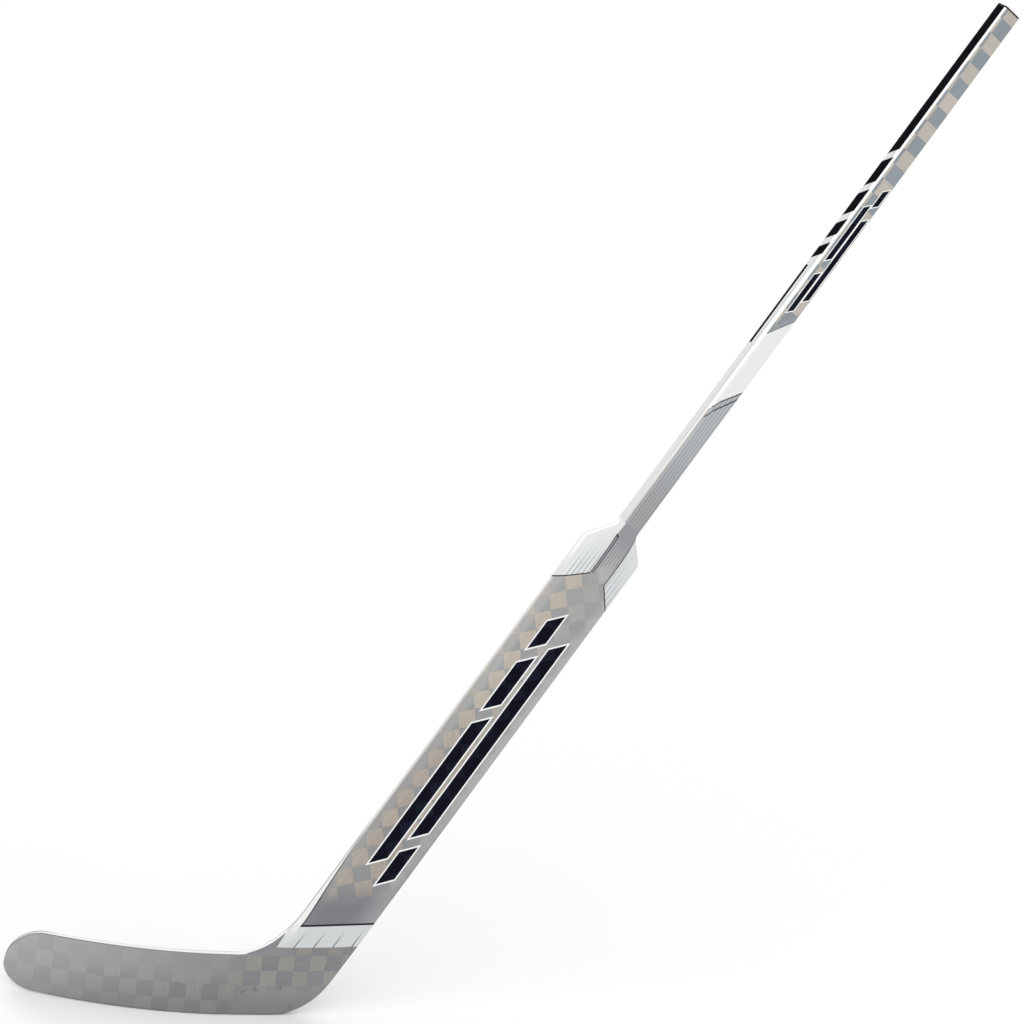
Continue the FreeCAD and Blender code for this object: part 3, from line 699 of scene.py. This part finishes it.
def blade_squares(tree, run, height):
    """The squares' two coordinates, columns along the bend and rows over the ice."""
    upright = add(tree, "Math", (height, COLUMN_LEAN, run), operation="MULTIPLY_ADD")
    ahead = add(tree, "Math", (upright, TOE_SQUARES_FROM), operation="SUBTRACT")
    toe_squares = add(tree, "Math", (ahead, TOE_SQUARE), operation="DIVIDE")
    wide_square = add(tree, "Math", (ahead, WIDE_SQUARE), operation="DIVIDE")
    wide_square = add(tree, "Math", (toe_squares, wide_square), operation="MAXIMUM")
    behind = add(tree, "Math", (upright, HEEL_SQUARES_FROM), operation="SUBTRACT")
    heel_squares = add(tree, "Math", (behind, HEEL_SQUARE), operation="DIVIDE")
    heel_squares = add(tree, "Math", (heel_squares, HEEL_SHIFT), operation="SUBTRACT")
    is_heel = add(tree, "Math", (behind, 0), operation="LESS_THAN")
    upper = add(tree, "Mix", {0: is_heel, 2: wide_square, 3: heel_squares}, data_type="FLOAT")
    rows_from = add(tree, "MapRange", (run, *ROWS_FROM))
    second = add(tree, "Math", (height, rows_from), operation="SUBTRACT")
    second = add(tree, "Math", (second, BLADE_ROW), operation="DIVIDE")
    is_upper = add(tree, "Math", (second, 0), operation="GREATER_THAN")
    first = add(tree, "Mix", {0: is_upper, 2: toe_squares, 3: upper}, data_type="FLOAT")
    return first, second


print("blade squares:", TOE_SQUARE, "by", BLADE_ROW, "mm")

# %% [markdown]
# ## Blade: shades
#
# The weave is faint in some rows, the blade darkens towards the ice in a painted shade and
# pales towards the toe and its upper edge in a painted light, and low on the heel it has a
# few scuffs, from the ice and the boards. Each of these is one soft mask and one colour.

# %% Blade: shades
LOW_ROWS_FADE = (46, 34)
HIGH_ROWS_FADE, HIGH_ROWS_RUN_FADE = (42, 56), (220, 180)
HEEL_ROWS_FADE, FAINT_SHARE = (15, -45), 0.75
NOTCH_RISE_FADE, NOTCH_RUN_FADE = (83, 90), (-85, -60)
SHADE_FADE, SHADE_SHARE = (50, 0), 0.6


def blade_shades(tree, colour, run, height):
    """Faint rows, a plain notch under the paddle and a painted shade near the ice."""
    low_rows = fade(tree, height, *LOW_ROWS_FADE)
    high_rows = fade(tree, height, *HIGH_ROWS_FADE)
    high_rows = both(tree, high_rows, fade(tree, run, *HIGH_ROWS_RUN_FADE))
    at_heel = fade(tree, run, *HEEL_ROWS_FADE)
    faint = add(tree, "Mix", {0: at_heel, 2: high_rows, 3: low_rows}, data_type="FLOAT")
    faint = add(tree, "Math", (faint, FAINT_SHARE), operation="MULTIPLY")
    colour = paint(tree, colour, "8E8F8F", faint)
    notch = both(tree, fade(tree, height, *NOTCH_RISE_FADE), fade(tree, run, *NOTCH_RUN_FADE))
    colour = paint(tree, colour, "8B8C8E", notch)
    # Painted shade: the blade darkens towards the ice.
    shade = fade(tree, height, *SHADE_FADE)
    shade = add(tree, "Math", (shade, SHADE_SHARE), operation="MULTIPLY")
    return paint(tree, colour, "78797B", shade)


print("the shade reaches", SHADE_FADE[0], "mm over the ice")

# %% Blade: scuffs and a painted light on the toe
SCUFF_SIZE, SCUFF_FADE, SCUFF_SHARE = 14, (0.64, 0.74), 0.5
SCUFF_RISE_FADE, SCUFF_RUN_FADE = (60, 30), (90, 0)
# Painted light towards the toe: its rise, fade and share.
TOE_LIGHT_RISE, TOE_LIGHT_FADE, TOE_LIGHT_SHARE = 1.6, (60, 440), 0.6


def blade_scuffs_and_toe_light(tree, colour, run, height):
    """Dark scuffs low on the heel, and a painted light that pales the toe and the upper blade."""
    point = add(tree, "TexCoord", out="Object")
    scuff = add(tree, "TexNoise", {"Vector": point, "Scale": 1000 / SCUFF_SIZE, "Detail": 2})
    scuff = fade(tree, scuff, *SCUFF_FADE)
    low, heel = fade(tree, height, *SCUFF_RISE_FADE), fade(tree, run, *SCUFF_RUN_FADE)
    scuff = both(tree, scuff, low, heel)
    scuff = add(tree, "Math", (scuff, SCUFF_SHARE), operation="MULTIPLY")
    colour = paint(tree, colour, "5C5C5E", scuff)
    # Painted light: paler towards the toe and upwards.
    paler = add(tree, "Math", (height, TOE_LIGHT_RISE, run), operation="MULTIPLY_ADD")
    pale = paint(tree, colour, "B2B4B3", TOE_LIGHT_SHARE)
    return paint(tree, colour, pale, fade(tree, paler, *TOE_LIGHT_FADE))


print("scuffs about", SCUFF_SIZE, "mm wide")

# %% [markdown]
# ## Blade: the painted highlight on the edge
#
# The blade's rounded upper edge gets a painted highlight in white, over a band of painted
# shade where the edge begins to turn, with a grey seam where the two half-shells meet. The
# mask is how squarely the surface faces up and forward, so the painted highlight follows
# the rounded edge by itself.

# %% Blade: painted highlight on the edge
EDGE_FACING = Vector((-0.3, 0, 0.95))
RIM_SHADE_FADE, RIM_HIGHLIGHT_FADE = (0.3, 0.5), (0.66, 0.84)
HEEL_THICKER = (-10, -70, 0, 6)
RIM_FROM, RIM_FROM_FADE = (-60, 20, -1.5, -9), (-0.4, 0.4)
SEAM_PLACE, SEAM_HALF = (200, 250, 2.1, 1.9), (200, 250, 0.5, 2.5)
RIM_TOE_FADE = (225, 250)


def blade_edge_highlight(tree, colour, run, inward):
    """A painted highlight on the upper edge, painted shade where it begins, and its seam."""
    facing = add(tree, "NewGeometry", out="Normal")
    facing = add(tree, "VectorMath", (facing, EDGE_FACING), out="Value", operation="DOT_PRODUCT")
    # Painted shade: darker grey where the edge begins to turn up.
    colour = paint(tree, colour, "838488", fade(tree, facing, *RIM_SHADE_FADE))
    thicker = add(tree, "MapRange", (run, *HEEL_THICKER))
    inward = add(tree, "Math", (inward, thicker), operation="SUBTRACT")
    rim_from = add(tree, "MapRange", (run, *RIM_FROM))
    past = add(tree, "Math", (inward, rim_from), operation="SUBTRACT")
    edge = both(tree, fade(tree, facing, *RIM_HIGHLIGHT_FADE), fade(tree, past, *RIM_FROM_FADE))
    seam = add(tree, "MapRange", (run, *SEAM_PLACE))
    seam_half = add(tree, "MapRange", (run, *SEAM_HALF))
    seam = add(tree, "Math", (inward, seam, seam_half), operation="COMPARE")
    # Painted highlight in white along the rounded upper edge, greyer towards the toe.
    white = paint(tree, "EEF0EF", "CDCFCC", fade(tree, run, *RIM_TOE_FADE))
    colour = paint(tree, colour, white, edge)
    return paint(tree, colour, "8F9094", both(tree, edge, seam))


print("white edge to", RIM_TOE_FADE[1], "mm")

# %% [markdown]
# ## Blade: all layers
#
# The heel print goes on last, because it runs on from the paddle over everything here.

# %% Blade
LIGHT_HEEL_FADE = (40, -10)
BLADE_ROUGHNESS = 0.42


def blade_paint():
    """Printed laminate of the blade."""
    # Greys that hardly differ, so the eye reads woven squares and not a pattern.
    material, tree = new_material("lacquered woven laminate, blade")
    along, across, depth = directions(tree)
    run, height, inward = blade_places(tree, depth)
    square = blade_squares(tree, run, height)
    light = paint(tree, "919290", "908F8B", fade(tree, run, *LIGHT_HEEL_FADE))
    colour, threads = weave(tree, *square, light, "838587")
    colour = blade_shades(tree, colour, run, height)
    colour = blade_scuffs_and_toe_light(tree, colour, run, height)
    colour = blade_edge_highlight(tree, colour, run, inward)
    colour = heel_print(tree, colour, along, across, depth)
    lacquer(tree, colour, threads, BLADE_ROUGHNESS)
    return material


blade_material = blade_paint()
print(blade_material.name, "has", len(blade_material.node_tree.nodes), "nodes")

# %% [markdown]
# ## Shaft: the wide faces
#
# From the paddle up, the shaft's wide faces carry grey pinstripes, a slanted double line,
# a bare white panel, a slanted grey wedge and then the weave, in squares as wide as the
# face, with one more run of bars. They are painted from the top down, each part over the
# one above it, so every part needs only its upper limit.

# %% Shaft: upper part
SHAFT_SQUARE, SHAFT_SQUARES_FROM = 22.5, (35.1, 9.3)
SHAFT_BARS = (
    (1070, 1128, 0.4, 8.2),
    (1092, 1216, -10, -2.2),
    (1150, 1232, 0.4, 8.2),
    (1238, 1262, -10, -2.2),
)
SHAFT_KEYLINE = 1.3
SHAFT_SLANT = 1.33
GREY_WEDGE_FADE = (1068, 1048)
WHITE_TOP, CLOSING_LINE = 1046.5, 0.8


def shaft_upper(tree, along, across):
    """The weave with its bars, the grey wedge and the white panel, and the threads' height."""
    first = add(tree, "Math", (along, SHAFT_SQUARES_FROM[0]), operation="SUBTRACT")
    first = add(tree, "Math", (first, SHAFT_SQUARE), operation="DIVIDE")
    second = add(tree, "Math", (across, SHAFT_SQUARES_FROM[1]), operation="SUBTRACT")
    second = add(tree, "Math", (second, 2 * SHAFT_HALF_WIDTH), operation="DIVIDE")
    square = first, second
    face, threads = weave(tree, *square, "B9B3AB", "8E959B")
    face = paint_bars(tree, face, along, across, SHAFT_BARS, SHAFT_KEYLINE, square)

    wedge = slanted(tree, along, across, SHAFT_SLANT)
    face = paint(tree, face, "959A9E", fade(tree, wedge, *GREY_WEDGE_FADE))
    white = add(tree, "Math", (wedge, WHITE_TOP), operation="LESS_THAN")
    face = paint(tree, face, "E4E7E6", white)
    closing = WHITE_TOP + CLOSING_LINE
    closing = add(tree, "Math", (wedge, closing, CLOSING_LINE), operation="COMPARE")
    return paint(tree, face, "6E7176", closing), threads


print("shaft bars:", len(SHAFT_BARS))

# %% Shaft: lower part
PIN_FADE, PIN_PALE_FADE = (1.1, 0.5), (760, 880)
CORNER_FROM, CORNER_RISE = 9, 1.1
PINS_TOP = 937.4
# Each row: slope, place, half width.
DOUBLE_LINE = ((1.4, 925, 1.8), (1.25, 937, 1.6))


def shaft_lower(tree, face, along, across):
    """Pinstripes and the double line that closes them, and the mask of the pinstripes."""
    lines = add(tree, "Math", (across, PIN_STEP / 2), operation="PINGPONG")
    lines = fade(tree, lines, *PIN_FADE)
    paler = fade(tree, along, *PIN_PALE_FADE)
    ground = paint(tree, "A3A4A6", "B2B6B9", paler)
    pin = paint(tree, "8A8C90", "999DA1", paler)
    striped = paint(tree, ground, pin, lines)

    # Near the leading corner the lines turn steeper, as a print does that is bent round it.
    bend = add(tree, "Math", (across, CORNER_FROM), operation="SUBTRACT")
    bend = add(tree, "Math", (bend, 0), operation="MAXIMUM")
    bent = add(tree, "Math", (bend, CORNER_RISE, along), operation="MULTIPLY_ADD")
    slant = slanted(tree, bent, across, SHAFT_SLANT)
    below = add(tree, "Math", (slant, PINS_TOP), operation="LESS_THAN")
    face = paint(tree, face, striped, below)
    for slope, place, half in DOUBLE_LINE:
        slant = slanted(tree, bent, across, slope)
        line = add(tree, "Math", (slant, place, half), operation="COMPARE")
        face = paint(tree, face, "55565D", line)
    return face, below


print("pinstripes every", PIN_STEP, "mm")

# %% [markdown]
# ## Shaft: the narrow sides
#
# The narrow sides start white, with a painted highlight near the backhand corner and a
# faint line of painted shade beside it, and turn black through a thin line and a row of
# dashes that grow longer. A table of their ends is shorter than a rule for them.

# %% Shaft: narrow sides
THIN_LINE, THIN_LINE_ALONG = (4.6, 2), (1070, 60)
SIDE_DASHES = ((1146, 1164), (1176, 1200), (1212, 1246), (1258, 1296), (1308, 1600))
DASH_LEAN, DASH_FROM = 0.9, -6.2
# Painted highlight on the narrow side: its depth and its rise.
SIDE_HIGHLIGHT_DEPTH_FADE, SIDE_HIGHLIGHT_RISE_FADE = (-3, -5.5), (770, 870)
# A thin line of painted shade beside the highlight: place, half width and rise.
SIDE_SHADE_LINE, SIDE_SHADE_LINE_RISE_FADE = (-2.3, 0.9), (790, 870)


def shaft_side(tree, along, depth):
    """White with a painted highlight and a line of painted shade, then a thin line, dashes and
    black.
    """
    thin = add(tree, "Math", (depth, *THIN_LINE), operation="COMPARE")
    thin_part = add(tree, "Math", (along, *THIN_LINE_ALONG), operation="COMPARE")
    black = both(tree, thin, thin_part)
    tall = add(tree, "Math", (depth, DASH_FROM), operation="GREATER_THAN")
    lean = slanted(tree, along, depth, DASH_LEAN)
    for start, end in SIDE_DASHES:
        middle, half = (start + end) / 2, (end - start) / 2
        dash = add(tree, "Math", (lean, middle, half), operation="COMPARE")
        dash = both(tree, dash, tall)
        black = add(tree, "Math", (black, dash), operation="MAXIMUM")
    # Painted highlight near the corner with the backhand face, higher up the shaft.
    side_highlight = fade(tree, depth, *SIDE_HIGHLIGHT_DEPTH_FADE)
    side_highlight = both(tree, side_highlight, fade(tree, along, *SIDE_HIGHLIGHT_RISE_FADE))
    lit_side_white = paint(tree, "D9DBDA", "F6F7F6", side_highlight)
    # Painted shade: a thin grey line beside the painted highlight.
    side_shade_line = add(tree, "Math", (depth, *SIDE_SHADE_LINE), operation="COMPARE")
    side_shade_line = both(tree, side_shade_line, fade(tree, along, *SIDE_SHADE_LINE_RISE_FADE))
    lit_side_white = paint(tree, lit_side_white, "C9CBCA", side_shade_line)
    return paint(tree, lit_side_white, "05040A", black)


print("dashes on the narrow sides:", len(SIDE_DASHES))

# %% [markdown]
# ## Shaft: all layers
#
# The faces of the shaft meet in rounded corners. A point belongs to a narrow side where it
# lies further out across the shaft than through it. Below the double line the near face
# wraps a little round the corner. A white line follows the corners above, and a warm
# painted highlight follows them below.

# %% Shaft
CORNER_LINE, CORNER_LINE_FROM = 13.1, 1010
WARM_LINE, CORNER_WRAP = 1.2, 3.8
SHAFT_ROUGHNESS = 0.38


def shaft_paint():
    """Printed laminate of the shaft."""
    # The smoothest of the three lacquers, so the white and the black keep crisp edges.
    material, tree = new_material("lacquered woven laminate, shaft")
    along, across, depth = directions(tree)
    aside = add(tree, "Math", (across,), operation="ABSOLUTE")
    out = add(tree, "Math", (depth,), operation="ABSOLUTE")
    edge = add(tree, "Math", (aside, out), operation="SUBTRACT")
    face, threads = shaft_upper(tree, along, across)
    face, below = shaft_lower(tree, face, along, across)

    rim = add(tree, "Math", (aside, CORNER_LINE), operation="GREATER_THAN")
    upper = add(tree, "Math", (along, CORNER_LINE_FROM), operation="GREATER_THAN")
    face = paint(tree, face, "F8F9F8", both(tree, rim, upper))
    # Painted highlight in warm light grey on the rounded corner below the double line.
    warm_highlight = add(tree, "Math", (edge, SHAFT_CORNER + WARM_LINE), operation="GREATER_THAN")
    face = paint(tree, face, "CFC8C0", both(tree, warm_highlight, below))

    near = add(tree, "Math", (depth, 0), operation="LESS_THAN")
    limit = both(tree, below, near)
    limit = add(tree, "Math", (limit, CORNER_WRAP, SHAFT_CORNER), operation="MULTIPLY_ADD")
    is_narrow = add(tree, "Math", (edge, limit), operation="GREATER_THAN")
    colour = paint(tree, face, shaft_side(tree, along, depth), is_narrow)
    lacquer(tree, colour, threads, SHAFT_ROUGHNESS)
    return material


shaft_material = shaft_paint()
print(shaft_material.name, "has", len(shaft_material.node_tree.nodes), "nodes")

# %% [markdown]
# ## Plain materials
#
# The rest is simple: a moulded rubber plug in the butt end, and inside the stick foam, stiff
# filler and bare laminate, which nobody sees until a piece is taken out. All four are a
# grain between two shades of one colour, so one function makes them from a table.

# %% Plain materials
# Each row: dark shade, light shade, roughness, size of the grain in mm, strength of its bump.
PLAIN = {
    # Hardly any shine, so the plug looks softer than the lacquered shaft.
    "matt black rubber": ("141418", "1B1B1F", 0.62, 0.25, 0.3),
    # Chalky and pale, with cells drawn coarser than real ones, which are a few tenths of a mm.
    "closed-cell foam": ("D5CFBA", "E2DECD", 0.85, 0.8, 0.5),
    # Yellower and denser than foam. Its grain is drawn coarser than the real fine beads.
    "syntactic foam filler": ("C6B68B", "D2C49D", 0.8, 0.5, 0.3),
    # Nearly black with a dull sheen, and as mottled as tows of 2 mm make it.
    "bare carbon laminate": ("161619", "212124", 0.45, 2.0, 0.2),
}
GRAIN_FADE, GRAIN_SPREAD, GRAIN_HEIGHT = (0.35, 0.65), 0.08, 0.0001


def plain_material(name, dark, light, roughness, grain, strength):
    """Two shades of a colour, mixed by a grain whose size is in millimetres."""
    material, tree = new_material(name)
    point = add(tree, "TexCoord", out="Object")
    noise = add(tree, "TexNoise", {"Vector": point, "Scale": 1000 / grain, "Detail": 2})
    colour = paint(tree, dark, light, fade(tree, noise, *GRAIN_FADE))
    smooth, dull = roughness - GRAIN_SPREAD, roughness + GRAIN_SPREAD
    rough = add(tree, "MapRange", (noise, *NOISE_RANGE, smooth, dull))
    bump = add(tree, "Bump", {"Strength": strength, "Distance": GRAIN_HEIGHT, "Height": noise})
    surface = add(tree, "BsdfPrincipled", {
        "Base Color": colour,
        "Roughness": rough,
        "Normal": bump,
    })
    add(tree, "OutputMaterial", {"Surface": surface})
    return material


plain = {name: plain_material(name, *values) for name, values in PLAIN.items()}
print("plain materials:", ", ".join(plain))

# %% [markdown]
# ## Which piece is made of what
#
# The stick is a sandwich: laminate shells outside, foam cores between them and a laminate
# web that ties the two sides. Each piece has one material, in its only slot.

# %% Which piece is made of what
MADE_OF = {
    "shaft_tube": shaft_material,
    "butt_end_plug": plain["matt black rubber"],
    "tenon_stop": plain["closed-cell foam"],
    "paddle_backhand_shell": paddle_material,
    "paddle_forehand_shell": paddle_material,
    "paddle_leading_core": plain["closed-cell foam"],
    "paddle_trailing_core": plain["closed-cell foam"],
    "paddle_web": plain["bare carbon laminate"],
    "heel_insert": plain["syntactic foam filler"],
    "blade_backhand_shell": blade_material,
    "blade_forehand_shell": blade_material,
    "blade_upper_core": plain["closed-cell foam"],
    "blade_lower_core": plain["closed-cell foam"],
    "blade_web": plain["bare carbon laminate"],
}
for name, material in MADE_OF.items():
    nodes[name].data.materials.clear()
    nodes[name].data.materials.append(material)
print("pieces with a material:", len(MADE_OF))

# %% [markdown]
# ## Floor
#
# A wide pale floor on the level of the ice fills the picture from edge to edge, so it is
# the background too, and it takes the stick's soft shadow.

# %% Floor
FLOOR_SIZE = 120

form = bmesh.new()
bmesh.ops.create_grid(form, x_segments=1, y_segments=1, size=FLOOR_SIZE / 2)
mesh = bpy.data.meshes.new("studio floor")
form.to_mesh(mesh)
form.free()
floor = bpy.data.objects.new("studio floor", mesh)
floor.location.z = ICE
bpy.context.collection.objects.link(floor)

# Paper has no shine at all, so the floor is one even white.
floor_material, tree = new_material("white studio paper")
paper = add(tree, "BsdfDiffuse", {"Color": srgb("FAFAFA")})
add(tree, "OutputMaterial", {"Surface": paper})
mesh.materials.append(floor_material)
print("floor at", ICE, "m")

# %% [markdown]
# ## Light
#
# The light is that of a white tent: an even world, which gives every side its own colour,
# and three wide suns that model the form. A sun lights the whole floor alike, so the
# background stays even, and a wide one has soft shadows.

# %% Light
TENT_STRENGTH = 0.66
# Each row: name, direction the light comes from, strength, width in degrees.
SUNS = (
    ("key, from the left in front", (-0.7, -0.5, 0.75), 1.15, 50),
    ("rim, from behind", (0.1, 0.9, 0.5), 0.7, 40),
    ("fill, from the right", (0.8, -0.5, 0.35), 0.4, 60),
)

world = bpy.data.worlds.new("white tent")
bpy.context.scene.world = world
world.use_nodes = True
tree = world.node_tree
tree.nodes.clear()
tent = add(tree, "Background", {"Color": (1, 1, 1, 1), "Strength": TENT_STRENGTH})
add(tree, "OutputWorld", {"Surface": tent})

for name, source, strength, width in SUNS:
    lamp = bpy.data.lights.new(name, "SUN")
    lamp.energy = strength
    lamp.angle = math.radians(width)
    holder = bpy.data.objects.new(name, lamp)
    holder.rotation_euler = Vector(source).to_track_quat("Z", "Y").to_euler()
    bpy.context.collection.objects.link(holder)
print("suns:", len(SUNS))

# %% [markdown]
# ## Camera
#
# The camera stands 5 m off and looks square at the shaft, a good third of a right angle
# round from the backhand face towards the leading edge. It is turned about its own axis so
# that the shaft climbs through the picture from the lower left to the upper right.

# %% Camera
VIEW_TURN = math.radians(39)
SHAFT_IN_PICTURE = math.radians(53.55)
DISTANCE = 5.0
LOOK_ALONG, LOOK_ASIDE = 662.3, 127.3
FOCAL_LENGTH, SENSOR_WIDTH = 140.6, 36

back = BACKHAND * math.cos(VIEW_TURN) + LEADING * math.sin(VIEW_TURN)
aside = LEADING * math.cos(VIEW_TURN) - BACKHAND * math.sin(VIEW_TURN)
right = SHAFT * math.cos(SHAFT_IN_PICTURE) - aside * math.sin(SHAFT_IN_PICTURE)
up = SHAFT * math.sin(SHAFT_IN_PICTURE) + aside * math.cos(SHAFT_IN_PICTURE)
look_at = SHAFT * (LOOK_ALONG - GRIP_ALONG) / 1000 + aside * LOOK_ASIDE / 1000

lens = bpy.data.cameras.new("camera")
lens.lens = FOCAL_LENGTH
lens.sensor_width = SENSOR_WIDTH
camera = bpy.data.objects.new("camera", lens)
turn = Matrix((right, up, back)).transposed().to_4x4()
camera.matrix_world = Matrix.Translation(look_at + back * DISTANCE) @ turn
bpy.context.collection.objects.link(camera)
bpy.context.scene.camera = camera
bpy.context.scene.view_settings.view_transform = "Standard"
print("camera at", [round(value, 3) for value in camera.matrix_world.translation])
